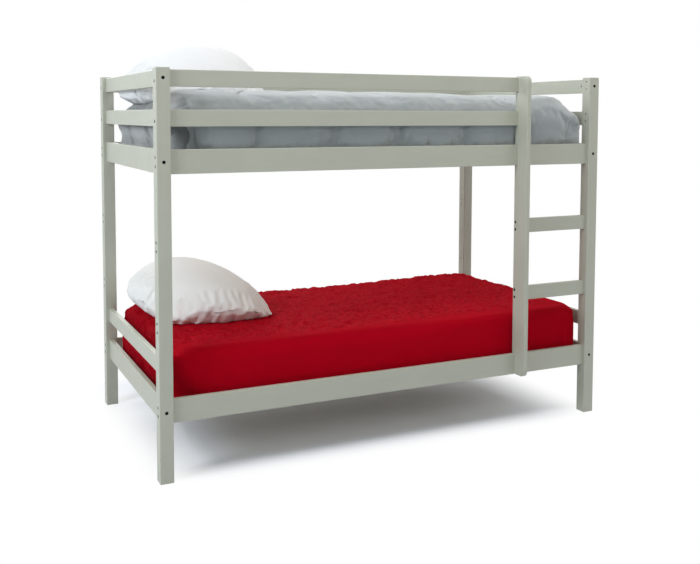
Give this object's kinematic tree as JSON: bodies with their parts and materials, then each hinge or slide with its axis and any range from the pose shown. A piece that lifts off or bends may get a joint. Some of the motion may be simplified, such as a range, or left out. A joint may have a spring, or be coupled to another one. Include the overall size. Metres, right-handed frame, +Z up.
{
  "type": "bunk bed",
  "caption": "Twin over twin bunk bed in painted timber with a built-in front ladder, guard rails all round, slatted decks, mattresses, bedding and pillows.",
  "frame": {"origin": "on the floor, under the middle of the whole object's box", "axes": "+X along the bed from the head end to the foot end where the ladder is, +Y from the ladder side to the rear, +Z up"},
  "size_m": [2.01, 1.13, 1.6816],
  "materials": {
    "frame_paint": "satin sage-grey paint on solid pine",
    "bare_pine": "planed, unpainted",
    "beech": "fluted dowel, bare",
    "black_steel": "black oxide",
    "zinc_steel": "zinc plated",
    "webbing": "woven polyester tape",
    "ticking": "woven mattress ticking",
    "red_cotton": "crinkled matelasse cotton",
    "grey_blue_cotton": "smooth brushed cotton",
    "white_cotton": "plain percale"
  },
  "bodies": {
    "frame": {"end_rail_barrel_nuts": "zinc_steel", "end_rail_bolts": "black_steel", "end_rail_dowels": "beech", "end_rail_lower_narrow_left": "frame_paint", "end_rail_lower_narrow_right": "frame_paint", "end_rail_lower_wide_left": "frame_paint", "end_rail_lower_wide_right": "frame_paint", "end_rail_middle_left": "frame_paint", "end_rail_middle_right": "frame_paint", "end_rail_top_left": "frame_paint", "end_rail_top_right": "frame_paint", "end_rail_upper_wide_left": "frame_paint", "end_rail_upper_wide_right": "frame_paint", "guard_rail_barrel_nuts": "zinc_steel", "guard_rail_bolts": "black_steel", "guard_rail_dowels": "beech", "guard_rail_middle_front": "frame_paint", "guard_rail_middle_rear": "frame_paint", "guard_rail_top_front": "frame_paint", "guard_rail_top_rear": "frame_paint", "ladder_barrel_nuts": "zinc_steel", "ladder_bolts": "black_steel", "ladder_rung_1": "frame_paint", "ladder_rung_2": "frame_paint", "ladder_stile": "frame_paint", "ledger_screws": "zinc_steel", "post_front_left": "frame_paint", "post_front_right": "frame_paint", "post_rear_left": "frame_paint", "post_rear_right": "frame_paint", "side_rail_barrel_nuts": "zinc_steel", "side_rail_bolts": "black_steel", "side_rail_lower_front": "frame_paint", "side_rail_lower_rear": "frame_paint", "side_rail_upper_front": "frame_paint", "side_rail_upper_rear": "frame_paint", "slat_ledger_lower_front": "bare_pine", "slat_ledger_lower_rear": "bare_pine", "slat_ledger_upper_front": "bare_pine", "slat_ledger_upper_rear": "bare_pine", "slat_screws": "zinc_steel", "slat_straps_lower": "webbing", "slat_straps_upper": "webbing", "slats_lower": "bare_pine", "slats_upper": "bare_pine", "stile_screws": "zinc_steel"},
    "lower_bedding": {"lower_mattress": "ticking", "lower_bedspread": "red_cotton"},
    "lower_pillow": {"lower_pillow": "white_cotton"},
    "upper_bedding": {"upper_mattress": "ticking", "upper_comforter": "grey_blue_cotton"},
    "upper_pillow": {"upper_pillow": "white_cotton"}
  },
  "joints": [
    {"name": "lower_bedding_lift", "type": "slide", "parent": "frame", "child": "lower_bedding", "axis": [0, 0, 1], "range_m": [0, 0.2]},
    {"name": "lower_pillow_lift", "type": "slide", "parent": "lower_bedding", "child": "lower_pillow", "axis": [0, 0, 1], "range_m": [0, 0.2]},
    {"name": "upper_bedding_lift", "type": "slide", "parent": "frame", "child": "upper_bedding", "axis": [0, 0, 1], "range_m": [0, 0.35]},
    {"name": "upper_pillow_lift", "type": "slide", "parent": "upper_bedding", "child": "upper_pillow", "axis": [0, 0, 1], "range_m": [0, 0.3]}
  ]
}
